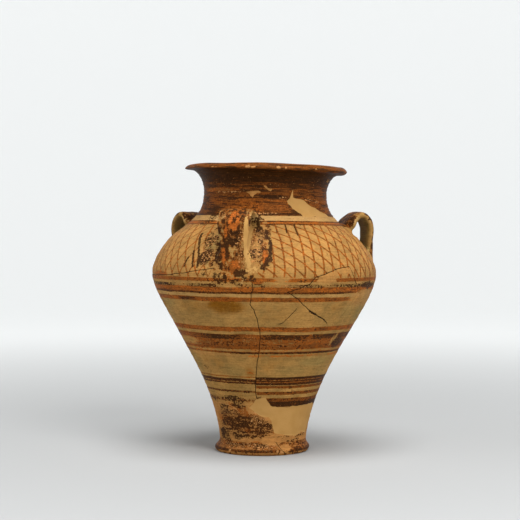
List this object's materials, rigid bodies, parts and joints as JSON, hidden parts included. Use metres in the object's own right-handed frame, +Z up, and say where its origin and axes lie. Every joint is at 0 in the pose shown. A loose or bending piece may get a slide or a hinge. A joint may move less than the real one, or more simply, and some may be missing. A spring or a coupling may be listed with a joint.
{
  "type": "three-handled jar",
  "caption": "Hollow earthenware storage jar with a turned-out lip, swelling shoulder, tapering body, disc foot and strap handles on the shoulder, painted with bands and a net.",
  "frame": {"origin": "centre of the flat underside of the foot, where the jar rests", "axes": "+Z up through the mouth; -Y toward the front handle; +X to the right of a viewer who faces the front handle"},
  "size_m": [0.3192, 0.3192, 0.4084],
  "materials": {
    "fired_clay": "matt, worn, buff fired clay with orange, brown and black painted bands"
  },
  "bodies": {
    "root": {"jar": "fired_clay"}
  },
  "joints": []
}
